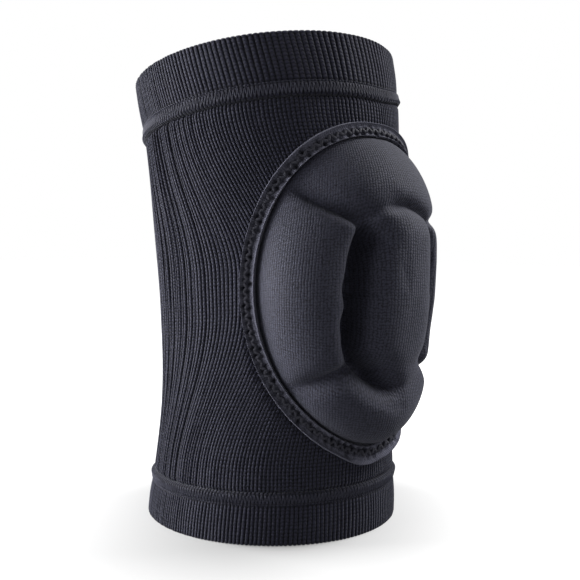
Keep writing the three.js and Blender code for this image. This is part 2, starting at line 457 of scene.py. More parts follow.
# The inside rows have no ribbing, which also darkens them with painted shade.
sleeve_rows = np.concatenate(
    [
        np.stack([outside, tucked, np.ones_like(outside)], axis=1),
        np.stack([inside, np.full_like(inside, -knit_wall), np.zeros_like(inside)], axis=1),
    ]
)
rib_yarn = knit_material(
    "rib_yarn",
    (0.0015, 0.0015, 0.0025, 1),
    (0.0326, 0.0333, 0.0570, 1),
    relief=0.5,
    shaded=True,
    Bead=0.9,
    Column=0.4,
)
sleeve = knit_tube("sleeve", sleeve_ribs, sleeve_rows, drawn_wales)
make_real(sleeve, rib_tree, {"Ribs": sleeve_ribs, "Crease Depth": 2.0, "Material": rib_yarn})
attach(sleeve, "root")
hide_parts("knit_sleeve")

# The hems
# At each end the knit is turned in and sewn down, so the rim is a soft fold two layers thick.
# The sewn edge makes a raised band, with a zigzag of thread across it and a line of stitches along
# the side of it that is nearer the rim.
hem_wall = 3.2
fold_round = hem_wall / 2
fold_squareness = 0.6
fold_rows = 9
wall_rows = 9
wall_fullness = 0.35
wall_end = 1.5
within_rows = 5
within_end = 4.0
# These shares also darken the knit with painted shade where they are low: on the sewn band under the loops
# and inside the hem.
band_ribbing = 0.3
within_ribbing = 0.4
rim_swell = 0.7
top_crowding = (0.35, 0.1)
top_lean = 0.0018
top_lean_middle = 210.0
bottom_crowding = (0.12, 0.05)
hem_wander = {"most": 0.003, "waves": 13, "height": 9.0, "swirl": 31}


def hem_rows(rim, inwards, length, band_width):
    """Rows of a hem from the fold inside, round the rim, up the outside and back down within."""
    fold = np.linspace(0, np.pi, fold_rows)
    along = 1 - np.sin(fold) ** fold_squareness
    through = 1 + np.sign(np.cos(fold)) * np.abs(np.cos(fold)) ** fold_squareness
    folded = fold_round * np.stack([along, -through], axis=1)
    wall_along = np.linspace(fold_round + wall_end, length - band_width - wall_end, wall_rows)
    full = (wall_along - fold_round) / (length - band_width - fold_round)
    wall = np.stack([wall_along, wall_fullness * np.sin(np.pi * full)], axis=1)
    # Each row of the band, over its face and round its edge: distance from the sewn edge, distance out.
    sunk = [(band_width + 0.6, -0.15), (band_width, -0.85), (band_width - 0.7, -0.1)]
    flat = [(band_width - 1.8, 0.25), (band_width / 2, 0.35)]
    ridge = [(2.6, 0.6), (1.7, 0.95), (0.9, 0.85), (0.3, 0.3)]
    face = sunk + flat + ridge
    edge = [(0.0, -0.6), (0.0, -1.8), (0.3, -hem_wall)]
    band = np.array(face + edge)
    band_line = np.stack([length - band[:, 0], band[:, 1]], axis=1)
    within_along = np.linspace(length - within_end, fold_round + within_end, within_rows)
    within = np.stack([within_along, np.full(within_rows, -hem_wall)], axis=1)
    section = np.concatenate([folded, wall, band_line, within])
    ribbing = np.concatenate(
        [
            np.linspace(within_ribbing, 1, fold_rows),
            np.ones(wall_rows),
            np.full(len(face), band_ribbing),
            np.zeros(len(edge)),
            np.full(within_rows, within_ribbing),
        ]
    )
    rows = np.column_stack([rim + inwards * section[:, 0], section[:, 1], ribbing])
    return rows if inwards > 0 else rows[::-1]


def hem_swirl(turn, height):
    """How far a hem's ribs wander to and fro."""
    swirl = np.sin(height / hem_wander["height"] + hem_wander["swirl"] * turn)
    return hem_wander["most"] * np.sin(hem_wander["waves"] * turn) * swirl


def spread_in_front(turn, crowding):
    """Turns moved apart in front and together behind, by one wave and two waves round."""
    return turn + crowding[0] * np.sin(turn) + crowding[1] * np.sin(2 * turn)


def top_wales(turn, height):
    """The top hem's ribs: wider apart in front, and leaning a little."""
    lean = top_lean * (height - top_lean_middle)
    return spread_in_front(turn, top_crowding) - lean + hem_swirl(turn, height)


def bottom_wales(turn, height):
    """The bottom hem's ribs: a little wider apart in front."""
    return spread_in_front(turn, bottom_crowding) + hem_swirl(turn, height)


hem_yarn = knit_material(
    "hem_yarn",
    (0.0015, 0.0015, 0.0025, 1),
    (0.0296, 0.0303, 0.0515, 1),
    relief=0.4,
    shaded=True,
    Bead=0.75,
    Column=0.4,
)
hems = (
    {
        "name": "top_hem",
        "node": "top_cuff",
        "ribs": 228,
        "wales": top_wales,
        "rim": sleeve_height + rim_swell,
        "inwards": -1,
        "length": top_hem_height + rim_swell,
        "band": 7.0,
        "flat": (0.425, 0.036),
    },
    {
        "name": "bottom_hem",
        "node": "bottom_cuff",
        "ribs": 222,
        "wales": bottom_wales,
        "rim": 0.0,
        "inwards": 1,
        "length": bottom_hem_height,
        "band": 6.0,
        "flat": (0.41, 0.031),
    },
)
for hem in hems:
    hem["rows"] = hem_rows(hem["rim"], hem["inwards"], hem["length"], hem["band"])
    hem["cloth"] = knit_tube(hem["name"], hem["ribs"], hem["rows"], hem["wales"])
    hem_values = {"Ribs": hem["ribs"], "Fold Depth": 0.35, "Crease Depth": 0.4}
    make_real(hem["cloth"], rib_tree, {**hem_values, "Material": hem_yarn})
    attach(hem["cloth"], "root")
    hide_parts(hem["node"])

thread_tree, sizes = start_tree("sewing_thread", {"Thickness": 0.5})
thread_round = add_node(
    thread_tree,
    "GeometryNodeCurvePrimitiveCircle",
    {"Resolution": 6, "Radius": times(sizes["Thickness"], millimetre / 2)},
)
thread_body = add_node(
    thread_tree,
    "GeometryNodeCurveToMesh",
    {"Curve": sizes["Geometry"], "Profile Curve": thread_round.outputs["Curve"]},
)
end_tree(thread_tree, thread_body.outputs[0], sizes["Material"])


def sewing_thread(name, points, thickness, material):
    """A closed thread along the points."""
    path = bpy.data.curves.new(name, "CURVE")
    path.dimensions = "3D"
    spline = path.splines.new("POLY")
    spline.points.add(len(points) - 1)
    spline.points.foreach_set("co", np.column_stack([points, np.ones(len(points))]).ravel())
    spline.use_cyclic_u = True
    values = {"Thickness": thickness, "Material": material}
    return make_real(new_piece(name, path), thread_tree, values)


zigzag_sharpness = 0.985
thread_shade = 0.15
thread_light = 1.5
thread_finish = {"Roughness": 0.75, "Specular IOR Level": 0.3}


def zigzag(stitch):
    """From -1 to 1 and back once a stitch, with rounded turns."""
    wave = zigzag_sharpness * np.cos(2 * np.pi * stitch)
    return np.arcsin(wave) / np.arcsin(zigzag_sharpness)


def thread_material(name, colour):
    """Spun thread of one colour, a little uneven along its length."""
    material, tree, yarn = new_material(name, thread_finish)
    fluff = yarn_noise(tree, scale=900.0, detail=2.0)[0]
    dark = tuple(thread_shade * part for part in colour[:3]) + (1,)
    light = tuple(thread_light * part for part in colour[:3]) + (1,)
    tones = {"Factor": fluff, "A": dark, "B": light}
    tone = add_node(tree, "ShaderNodeMix", tones, data_type="RGBA")
    tree.links.new(tone.outputs["Result"], yarn.inputs["Base Color"])
    return material


thread_yarn = thread_material("thread_yarn", (0.047, 0.048, 0.072, 1))
hem_stitches = 240
hem_steps = 12
hem_stitch = np.arange(hem_stitches * hem_steps) / hem_steps
hem_turn = 2 * np.pi * hem_stitch / hem_stitches
outer_face = -1.0
loops_shift = 0.2
loops_inset = 0.8
loops_lift = {"middle": 0.2, "dip": 0.5, "sharpness": 6}
needle_lift = {"middle": 0.1, "swing": 0.4}
loops_thickness = 0.65
needle_thickness = 0.7


def hem_line(hem, from_seam, lift):
    """Points round a hem at a distance from its sewn edge, lifted off the knit."""
    along = (hem["rows"][:, 0] - hem["rim"]) * hem["inwards"]
    out = hem["rows"][:, 1]
    outer = np.where(out > outer_face)[0]
    order = outer[np.argsort(along[outer])]
    spot = hem["length"] - from_seam
    surface = np.interp(spot, along[order], out[order])
    height = hem["rim"] + hem["inwards"] * spot
    return on_leg(hem_turn, height, surface + lift + cushion_tent(hem_turn, height))


swing = zigzag(hem_stitch)
weave = np.cos(2 * np.pi * hem_stitch)
for hem in hems:
    half_band = hem["band"] / 2
    lines = (
        {
            "name": "loops",
            "from_seam": half_band + loops_shift + swing * (half_band - loops_inset),
            "lift": loops_lift["middle"] - loops_lift["dip"] * swing ** loops_lift["sharpness"],
            "thickness": loops_thickness,
        },
        {
            "name": "needle_line",
            "from_seam": np.full_like(weave, hem["band"]),
            "lift": needle_lift["middle"] + needle_lift["swing"] * weave,
            "thickness": needle_thickness,
        },
    )
    for line in lines:
        name = f"{hem['node']}_{line['name']}"
        points = hem_line(hem, line["from_seam"], line["lift"])
        thread = sewing_thread(name, points, line["thickness"], thread_yarn)
        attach(thread, "root")
        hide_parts(hem["node"])

# The cushion's binding
# A folded tape sewn round the cushion's foot with a thick zigzag seam. Its outer edge is a thin
# bead, the strip inside it is flat, and its inner edge stands up as a narrow lip by the cushion.
oval_top = 80.5
oval_bottom = 82.0
oval_egg = 0.16
shoulder_turn = np.radians(115)
shoulder_fullness = {"all_round": 0.4, "at_shoulders": 0.8, "radius": 70.0}
tape_join = {"drop": 1.3, "across": -6.0, "reach": 12.0}
tape_springs = (
    {"turn": np.radians(62), "spread": 0.3, "lift": 2.0},
    {"turn": np.radians(293), "spread": 0.32, "lift": 4.2},
)
tape_top_tilt = 2.2
tape_underside = -0.5
tape_stand = 2.9
tape_loops_along = 4
tape_loops_across = 7
seam_side_shift = 0.19
tape_side = 6.8
tape_top = 6.9
tape_bottom = 8.4
tape_columns = 1200
seam_pitch = 4.1
seam_rows = (0.47, 0.77)


def on_oval(turn, inset):
    """Across and up from the cushion's middle, drawn in by a share of the tape's width."""
    across = (oval_width - inset * tape_side) * np.cos(turn) * (1 + oval_egg * np.sin(turn))
    upper = oval_top - inset * tape_top
    lower = oval_bottom - inset * tape_bottom
    up = np.where(np.sin(turn) > 0, upper, lower) * np.sin(turn)
    from_shoulder = np.arctan2(np.sin(turn), -np.abs(np.cos(turn))) - shoulder_turn
    bulge = shoulder_fullness["at_shoulders"] * np.cos(4 * from_shoulder)
    fuller = 1 + (shoulder_fullness["all_round"] + bulge) / shoulder_fullness["radius"]
    by_join = np.clip(1 - np.abs(across - tape_join["across"]) / tape_join["reach"], 0, 1)
    join = tape_join["drop"] * by_join * np.clip(1 - inset, 0, 1)
    return across * fuller, up * fuller - np.where(np.sin(turn) < 0, join, 0.0)


def tape_lift(turn):
    """How far the tape springs off the sleeve, at its upper and its lower right."""
    return sum(
        spring["lift"] * np.exp(-(((turn - spring["turn"]) / spring["spread"]) ** 2))
        for spring in tape_springs
    )


def tape_tilt(turn, inset):
    """How much further its inner side stands off at the top, where the cushion pushes it up."""
    return tape_top_tilt * inset * np.clip(np.sin(turn), 0, 1) ** 2


def seam_shift(turn):
    """How much nearer the tape's outer edge the seam runs beside the cushion than at its ends."""
    return seam_side_shift * np.cos(turn) ** 2


def on_knee(across, up, out):
    """Points over the sleeve, across and up from the cushion's middle."""
    height = cushion_middle + up
    return on_leg(across / up_the_leg(leg_radii, height), height, out)


def smooth_loop(corners, steps):
    """A smooth closed line through the corners."""
    before, after, beyond = (np.roll(corners, shift, axis=0) for shift in (1, -1, -2))
    shares = np.arange(steps) / steps
    line = [
        corners
        + (after - before) / 2 * share
        + (before - 2.5 * corners + 2 * after - beyond / 2) * share**2
        + (1.5 * (corners - after) + (beyond - before) / 2) * share**3
        for share in shares
    ]
    return np.stack(line, axis=1).reshape(-1, corners.shape[1])


# Round the tape's section: share of its width from the outer edge, distance out of the sleeve.
tape_corners = (
    (0.03, tape_underside),
    (0.0, 1.0),
    (0.01, 2.9),
    (0.055, 4.0),
    (0.11, 3.6),
    (0.19, 2.8),
    (0.28, 2.65),
    (0.38, 2.9),
    (0.48, 2.8),
    (0.62, 2.9),
    (0.76, 3.15),
    (0.86, 3.4),
    (0.91, 3.9),
    (0.95, 4.25),
    (0.985, 3.9),
    (1.0, 2.4),
    (1.0, tape_underside),
    (0.5, tape_underside),
)
tape_section_steps = 2
tape_section = smooth_loop(np.array(tape_corners), tape_section_steps)
tape_turn = 2 * np.pi * np.arange(tape_columns + 1) / tape_columns
tape_across, tape_up = on_oval(tape_turn[None, :], tape_section[:, :1])
middle_across, middle_up = on_oval(tape_turn, 0.5)
tape_steps = np.hypot(np.diff(middle_across), np.diff(middle_up))
tape_along = np.concatenate([[0], np.cumsum(tape_steps)])
seam_stitches = round(tape_along[-1] / seam_pitch)
tape_stitch = tape_along / tape_along[-1] * seam_stitches
inset_along = np.append(tape_section[:, 0], tape_section[0, 0])
loops_along = tape_stitch[None, :] * tape_loops_along
loops_across = inset_along[:, None] * tape_loops_across
tape_places = np.stack(np.broadcast_arrays(loops_along, loops_across), axis=-1)
tape_yarn = knit_material(
    "tape_yarn",
    (0.004, 0.004, 0.007, 1),
    (0.112, 0.113, 0.153, 1),
    relief=0.2,
    shaded=True,
    Bead=0.3,
    Column=0.3,
    Slant=0.5,
)
tape_out = tape_section[:, 1:]
tape_raise = tape_lift(tape_turn[None, :-1]) + tape_tilt(tape_turn[None, :-1], tape_section[:, :1])
tape_out = tape_out + tape_raise * np.clip((tape_out - tape_underside) / tape_stand, 0, 1)
tape_grid = on_knee(tape_across[:, :-1], tape_up[:, :-1], tape_out)
binding_mesh = band_mesh("binding", tape_grid, tape_places)
seam_inset_marks = tape_section[:, :1] + seam_shift(tape_turn[None, :-1])
tape_marks = {"stitch": tape_stitch[None, :-1], "inset": seam_inset_marks}
mark_points(binding_mesh, tape_grid.shape[:2], tape_marks)
binding = new_piece("binding", binding_mesh)

pit_tree, sizes = start_tree(
    "seam_pits",
    {"Pit Depth": 1.0, "Pit Size": 0.8, "Unevenness": 1.0, "Outer Row": 0.47, "Inner Row": 0.77},
)
stitch, inset = (named_value(pit_tree, label) for label in ("stitch", "inset"))
pit_depths = {"least": 0.4, "more": 0.8}
pit = 0.0
for row, shift, seed in (("Outer Row", 0.5, 11.0), ("Inner Row", 0.0, 47.0)):
    place = plus(stitch, shift)
    sway = add_node(
        pit_tree,
        "ShaderNodeTexWhiteNoise",
        {"W": plus(maths("FLOOR", place), seed)},
        noise_dimensions="1D",
    )
    sway_parts = add_node(pit_tree, "ShaderNodeSeparateXYZ", {0: sway.outputs["Color"]})
    ways = []
    for axis in ("X", "Y"):
        from_half = minus(sway_parts.outputs[axis], 0.5)
        ways.append(times(from_half, sizes["Unevenness"]))
    step = minus(maths("FRACT", place), 0.5)
    along = plus(times(step, seam_pitch), ways[0])
    from_row = minus(inset, sizes[row])
    across = plus(times(from_row, tape_side), ways[1])
    along_squared = times(along, along)
    near = plus(along_squared, times(across, across))
    near = maths("DIVIDE", near, power(sizes["Pit Size"], 2.0))
    hole = maths("EXPONENT", times(near, -1.0))
    deeper = times(sway_parts.outputs["Z"], pit_depths["more"])
    depth = plus(deeper, pit_depths["least"])
    pit = plus(pit, times(hole, depth))
inwards = times(sizes["Pit Depth"], -millimetre)
sunk = times(pit, inwards)
# The pits are kept as the crest mark too, so the tape's colour darkens in them: painted shade in the
# needle holes.
end_moved(pit_tree, sizes, sunk, minus(1.0, pit))
pit_values = {"Pit Depth": 1.7, "Pit Size": 1.15, "Outer Row": seam_rows[0], "Inner Row": seam_rows[1]}
make_real(binding, pit_tree, {**pit_values, "Material": tape_yarn})
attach(binding, "root")
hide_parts("cushion_binding")

seam_yarn = thread_material("seam_yarn", (0.048, 0.0485, 0.066, 1))
seam_steps = 14
seam_thickness = 1.7
seam_sink = 0.3
seam_arch = {"rise": 0.25, "rise_sharpness": 3, "dive": 0.5, "dive_sharpness": 6}
seam_reach = {"usual": 0.95, "more_or_less": 0.2, "wave": 2.7}
seam_sway = {"most": 0.02, "wave": 1.3}
face_least = 1.0
seam_stitch = np.arange(seam_stitches * seam_steps) / seam_steps
seam_turn = np.interp(seam_stitch, tape_stitch, tape_turn)
swing = zigzag(seam_stitch + 0.5)
seam_middle = (seam_rows[0] + seam_rows[1]) / 2
reach_share = seam_reach["usual"] + seam_reach["more_or_less"] * np.sin(seam_stitch * seam_reach["wave"])
seam_swing = (seam_rows[1] - seam_rows[0]) / 2 * reach_share
seam_inset = seam_middle - swing * seam_swing + seam_sway["most"] * np.sin(seam_stitch * seam_sway["wave"])
seam_inset = seam_inset - seam_shift(seam_turn)
tape_face = tape_section[tape_section[:, 1] > face_least]
tape_face = tape_face[np.argsort(tape_face[:, 0])]
arched = seam_arch["rise"] * (1 - np.abs(swing) ** seam_arch["rise_sharpness"])
diving = seam_arch["dive"] * np.abs(swing) ** seam_arch["dive_sharpness"]
seam_out = np.interp(seam_inset, tape_face[:, 0], tape_face[:, 1]) - seam_sink + arched - diving
seam_out = seam_out + tape_lift(seam_turn) + tape_tilt(seam_turn, seam_inset)
seam_across, seam_up = on_oval(seam_turn, seam_inset)
seam_points = on_knee(seam_across, seam_up, seam_out)
binding_thread = sewing_thread("binding_thread", seam_points, seam_thickness, seam_yarn)
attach(binding_thread, "root")
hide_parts("cushion_binding")

# The knee cushion
# Moulded foam under a stretch cover: a tall centre lobe and four lobes round it.
# A narrow slot stands on each side of the centre lobe, and a soft valley above and below it.
foot_gap = {"side": 1.2, "top": 0.5, "bottom": 0.9}
foot_out = {"side": 1.5, "top": 2.4, "bottom": 2.2}
skirt_out = 1.0
centre_crown = 28.6
centre_sink = 4.0
lobe_crowns = {"side": 24.0, "top": 24.8, "bottom": 23.8}
slot_fall = 4.0
top_lobe_slope = 7.0
side_sink = 4.2
foot_reach = {"side": 28.0, "top": 37.0, "bottom": 22.0}
foot_steepness = {"side": 0.95, "top": 0.75, "bottom": 0.5}
foot_slope = 0.35
# Corners of the centre lobe's edge, across and up from the cushion's middle.
lobe_edge = (
    (0.0, 41.6), (5.0, 40.7), (10.0, 39.2), (15.5, 36.8), (19.2, 32.5), (21.0, 26.0),
    (22.0, 10.0), (22.2, -4.0), (22.8, -18.0), (22.0, -26.0), (20.3, -31.0), (17.0, -36.0),
    (12.0, -40.2), (6.5, -42.6), (0.0, -43.6), (-7.0, -41.4), (-11.6, -37.6), (-15.2, -33.8),
    (-17.6, -30.0), (-19.4, -26.0), (-20.4, -18.0), (-20.1, -4.0), (-19.9, 8.0), (-18.8, 18.0),
    (-17.2, 25.5), (-15.5, 30.8), (-13.3, 34.8), (-10.4, 37.8), (-6.6, 40.1),
)
slot_floor = -4.0
# Values by quarters are those at the upper left, upper right, lower left and lower right.
slot_widths = (5.0, 1.5, 4.2, 1.0)
centre_side = {"reach": 17.0, "roundness": 3.2}
lobe_side = {"reach": 7.0, "roundness": 2.2}
centre_reaches = (19.0, 17.0, 16.0, 18.0)
centre_rounds = (2.0, 2.2, 2.2, 2.0)
valley_floors = (22.0, 16.0, 6.0, 21.5)
valley_reaches = (16.0, 8.0, 12.0, 14.0)
valley_rounds = (1.6, 2.3, 1.7, 1.7)
crease_starts = (33.2, 31.0, 31.0, 31.0)
crease_slopes = (0.7, 0.25, 0.52, 0.6)
# Each crease in turn: its depth, its reach above and below its line, and that line.
creases = (
    (12.0, 5.0, 1.6, ((-14.5, 32.7), (-20.5, 35.8), (-27.5, 39.8), (-34.7, 44.7), (-50.0, 56.7))),
    (4.0, 2.8, 2.8, ((19.0, 33.5), (26.0, 36.0), (34.0, 37.0), (55.0, 40.0))),
    (9.0, 3.0, 4.0, ((-17.5, -31.5), (-25.2, -35.2), (-29.2, -37.6), (-35.7, -40.8), (-50.0, -47.0))),
    (7.5, 2.8, 2.8, ((20.0, -32.0), (24.0, -37.0), (31.4, -41.0), (50.0, -48.0))),
)
crease_power = 1.3
crease_floor = 0.4
cover_spread = 0.8
cushion_columns = 420
cushion_rows = 110
swell_column_step = 6
swell_row_step = 5
swell_pressure = 4.0
swell_frames = 20
swell_limit = 0.8
held_rings = 2
least_move = 1e-9
side_weight = 1.3
least_reach = 0.01
quarter_steps = {"upper": (-10.0, 10.0), "lower": (-8.0, 13.0)}
blur_steps = 7
edge_steps = 16
crease_steps = 120
crease_from = 19.0
crease_step = (-3.0, 6.0)
centre_step = (25.0, 12.0)
low_step = (0.0, -40.0)
pucker = {"depth": 0.8, "crest": -4.0, "wave": 2.9, "middle": -5.0, "spread": 11.0}
slot_ends = {"top": 36.0, "bottom": 46.0, "over": 12.0}
tip_fall = {"least": 0.8, "more": 0.8}
tip_step = (12.0, 16.0)
slot_side = {"ends": 32.0, "over": 11.0}
top_slope_step = (-12.0, -30.0)
foot_slope_step = (0.0, -30.0)
least_lobe = 3.0
grid_step = 0.5
grid_across = np.arange(-66.25, 67.0, grid_step)
grid_up = np.arange(-86.25, 87.0, grid_step)
skirt_inset = 1.02
ring_crowding = 0.9
back_share = np.linspace(0.05, 1.0, 10)
back_gap = 0.3
cover_wale = 1.5
cover_stretch = 1.3
cover_course = 1.45
cover_give = 0.5
cover_give_reach = 20.0


def shoulder(share, roundness):
    """1 in the middle of a lobe and 0 at its edge, with a round shoulder."""
    return np.maximum(0, 1 - np.clip(share, 0, 1) ** roundness) ** (1 / roundness)


def lobe_rise(gap, reach, roundness):
    """How much of its height a lobe has at a distance from its edge."""
    return shoulder(1 - gap / reach, roundness)


def nearest(spots, line):
    """The distance from each spot to a line of points, and which point is nearest."""
    gaps = np.hypot(spots[:, None, 0] - line[None, :, 0], spots[:, None, 1] - line[None, :, 1])
    return gaps.min(axis=1), gaps.argmin(axis=1)


def blend(first, second, share):
    """From the first to the second, by a share; for numbers and for sets of named numbers."""
    if isinstance(first, dict):
        return {key: blend(first[key], second[key], share) for key in first}
    return first + (second - first) * share


def by_side(spots, side, top, bottom):
    """A value for each spot, from those at the cushion's sides, top and bottom."""
    upness = spots[:, 1] / np.maximum(np.hypot(spots[:, 1], spots[:, 0] * side_weight), least_reach)
    return blend(side, np.where(upness > 0, top, bottom), ease(np.abs(upness)))


def by_quarter(spots, values):
    """A value for each spot, from those above and below the centre lobe on either hand."""
    upper = blend(values[0], values[1], stepped(spots[:, 0], *quarter_steps["upper"]))
    lower = blend(values[2], values[3], stepped(spots[:, 0], *quarter_steps["lower"]))
    return np.where(spots[:, 1] > 0, upper, lower)


def softened(field, step, spread):
    """The field with every crossing blurred over its neighbours."""
    reach = np.arange(-blur_steps, blur_steps + 1)
    weight = np.exp(-((reach * step / spread) ** 2) / 2)
    weight /= weight.sum()
    for axis in (0, 1):
        field = sum(w * np.roll(field, r, axis=axis) for r, w in zip(reach, weight))
    return field


def lobe_heights(across, up):
    """The lobes' height at each crossing of a grid, smoothed as the cover bridges the grooves."""
    spots = np.stack(np.meshgrid(across, up), axis=-1).reshape(-1, 2)
    edge = smooth_loop(np.array(lobe_edge), edge_steps)
    gap, edge_spot = nearest(spots, edge)
    outside = np.hypot(*spots.T) > np.hypot(*edge[edge_spot].T)
    from_middle = np.abs(spots[:, 1])
    sideways = np.abs(spots[:, 0])
    crease_slope = by_quarter(spots, crease_slopes)
    at_crease = by_quarter(spots, crease_starts) + crease_slope * (sideways - crease_from)
    lobe_ends = stepped(from_middle - at_crease, *crease_step)
    ends = np.where(outside, lobe_ends, stepped(from_middle, *centre_step))
    low = stepped(spots[:, 1], *low_step)
    ripple = pucker["depth"] * np.cos((spots[:, 1] - pucker["crest"]) / pucker["wave"])
    ripple = ripple * np.exp(-(((spots[:, 1] - pucker["middle"]) / pucker["spread"]) ** 2))
    ripple = np.where(spots[:, 0] < 0, ripple, 0)
    slot_length = np.where(spots[:, 1] > 0, slot_ends["top"], slot_ends["bottom"])
    slot = by_quarter(spots, slot_widths) * stepped(from_middle, slot_length, -slot_ends["over"])
    moat = np.maximum(0, gap + np.where(outside, ripple, -slot))
    floor = blend(slot_floor, by_quarter(spots, valley_floors), ends)
    lobe_end, centre_end = (
        {"reach": by_quarter(spots, reaches), "roundness": by_quarter(spots, rounds)}
        for reaches, rounds in ((valley_reaches, valley_rounds), (centre_reaches, centre_rounds))
    )
    fall = slot_fall * (tip_fall["least"] + tip_fall["more"] * stepped(spots[:, 1], *tip_step))
    by_slot = np.clip((slot_side["ends"] - sideways) / slot_side["over"], 0, 1) ** 2
    lobe_crown = by_side(
        spots,
        lobe_crowns["side"] - side_sink * low - fall * by_slot,
        lobe_crowns["top"] - top_lobe_slope * stepped(spots[:, 0], *top_slope_step),
        lobe_crowns["bottom"],
    )
    crown = centre_crown - centre_sink * low
    centre = floor + (crown - floor) * lobe_rise(moat, **blend(centre_side, centre_end, ends))
    lobes = floor + (lobe_crown - floor) * lobe_rise(moat, **blend(lobe_side, lobe_end, ends))
    for depth, reach_above, reach_below, line in creases:
        corners = np.array(line)
        steps = np.linspace(0, len(corners) - 1, crease_steps)
        path = np.stack([np.interp(steps, range(len(corners)), side) for side in corners.T], axis=1)
        gap, step = nearest(spots, path)
        crease_reach = np.where(spots[:, 1] > path[step, 1], reach_above, reach_below)
        away = (np.hypot(gap, crease_floor) - crease_floor) / crease_reach
        above = np.maximum(0, lobes - lobe_crown + depth)
        lobes = lobes - above * np.exp(-(away**crease_power))
    field = np.where(outside, lobes, centre).reshape(len(up), len(across))
    return softened(field, across[1] - across[0], cover_spread)


def sampled(field, across, up, spots):
    """The field's values at the spots, straight between its crossings."""
    column = (spots[:, 0] - across[0]) / (across[1] - across[0])
    row = (spots[:, 1] - up[0]) / (up[1] - up[0])
    left, low = column.astype(int), row.astype(int)
    right_share, up_share = column - left, row - low
    lower = field[low, left] * (1 - right_share) + field[low, left + 1] * right_share
    upper = field[low + 1, left] * (1 - right_share) + field[low + 1, left + 1] * right_share
    return lower * (1 - up_share) + upper * up_share


def cushion_out(spots, inside):
    """How far the cushion stands out of the sleeve, by the spot and its distance from the foot."""
    height = sampled(lobe_heights(grid_across, grid_up), grid_across, grid_up, spots)
    to_left = stepped(spots[:, 0], *foot_slope_step)
    steepness = by_side(
        spots,
        foot_steepness["side"],
        foot_steepness["top"] + foot_slope * to_left,
        foot_steepness["bottom"],
    )
    from_crown = 1 - np.clip(inside / by_side(spots, **foot_reach), 0, 1)
    rise = (1 - from_crown**2) ** steepness
    foot = by_side(spots, **foot_out) + tape_tilt(np.arctan2(spots[:, 1], spots[:, 0]), 1.0)
    return foot + (np.maximum(height, least_lobe) - foot) * rise


ring_turn = 2 * np.pi * np.arange(cushion_columns) / cushion_columns
skirt = np.stack(on_oval(ring_turn, skirt_inset), axis=-1)
upright = np.sin(ring_turn) ** 2
end_gap = np.where(np.sin(ring_turn) > 0, foot_gap["top"], foot_gap["bottom"])
skirt_reach = np.hypot(*skirt.T)
foot_line_reach = skirt_reach - blend(foot_gap["side"], end_gap, upright)
foot_line = skirt * (foot_line_reach / skirt_reach)[:, None]
ring_share = np.sin(np.linspace(1, 0, cushion_rows + 1)[:-1] * np.pi / 2) ** ring_crowding
dome_spots = (ring_share[:, None, None] * foot_line[None]).reshape(-1, 2)
dome_inside = ((1 - ring_share[:, None]) * foot_line_reach[None, :]).ravel()
back_spots = (back_share[:, None, None] * skirt[None]).reshape(-1, 2)
middle_spot = np.zeros((1, 2))
all_spots = np.concatenate([middle_spot, back_spots, skirt, dome_spots, middle_spot])
dome_out = cushion_out(
    np.concatenate([dome_spots, middle_spot]), np.append(dome_inside, foot_line_reach.min())
)
back_out = np.full(1 + len(back_spots), back_gap)
all_out = np.concatenate([back_out, np.full(len(skirt), skirt_out), dome_out])
cushion_points = on_knee(all_spots[:, 0], all_spots[:, 1], all_out)


def capped_faces(rings, columns):
    """Faces over rings of points, with one point before the first ring and one after the last."""
    around = np.arange(columns)
    next_around = (around + 1) % columns
    faces = [(0, a + 1, b + 1) for a, b in zip(next_around.tolist(), around.tolist())]
    for ring in range(rings - 1):
        here = 1 + ring * columns
        there = here + columns
        corners = [here + around, here + next_around, there + next_around, there + around]
        faces += np.stack(corners, axis=1).tolist()
    last = 1 + (rings - 1) * columns
    front = last + columns
    faces += [(front, last + a, last + b) for a, b in zip(around.tolist(), next_around.tolist())]
    return faces


# The cover is drawn tight over the foam: a coarse copy of it, held at its foot, swells as cloth,
# and the fine mesh takes over how far each spot of the copy moved, within a limit.
dome_start = len(cushion_points) - 1 - cushion_rows * cushion_columns
dome = cushion_points[dome_start:-1].reshape(cushion_rows, cushion_columns, 3)
kept_rows = np.arange(0, cushion_rows, swell_row_step)
coarse_dome = dome[kept_rows][:, ::swell_column_step]
coarse_columns = coarse_dome.shape[1]
coarse_points = np.concatenate(
    [cushion_points[:1], coarse_dome.reshape(-1, 3), cushion_points[-1:]]
)
slack_mesh = bpy.data.meshes.new("slack_cover")
slack_mesh.from_pydata(coarse_points, [], capped_faces(len(kept_rows), coarse_columns))
slack_cover = new_piece("slack_cover", slack_mesh)
held_foot = slack_cover.vertex_groups.new(name="held_foot")
held_foot.add(list(range(1 + held_rings * coarse_columns)), 1.0, "REPLACE")
swell = slack_cover.modifiers.new("swell", "CLOTH")
swell.settings.vertex_group_mass = held_foot.name
swell.settings.use_pressure = True
swell.settings.uniform_pressure_force = swell_pressure
swell.settings.effector_weights.gravity = 0.0
swell.point_cache.frame_start = 1
swell.point_cache.frame_end = swell_frames
for moment in range(1, swell_frames + 1):
    bpy.context.scene.frame_set(moment)
swollen = slack_cover.evaluated_get(bpy.context.evaluated_depsgraph_get()).to_mesh()
swollen_points = np.zeros(coarse_points.size, np.float32)
swollen.vertices.foreach_get("co", swollen_points)
moved = swollen_points.reshape(-1, 3) - coarse_points
bpy.data.objects.remove(slack_cover)
bpy.context.scene.frame_set(1)
moved_by = np.linalg.norm(moved, axis=1, keepdims=True)
moved *= np.minimum(1, swell_limit * millimetre / np.maximum(moved_by, least_move))
ring_moves = moved[1:-1].reshape(len(kept_rows), coarse_columns, 3)
crown_move = np.tile(moved[-1], (1, coarse_columns, 1))
moved_rows = np.concatenate([ring_moves, crown_move])
row_marks = np.append(kept_rows, cushion_rows)
fine_row = np.arange(cushion_rows)
row_below = np.searchsorted(row_marks, fine_row, side="right") - 1
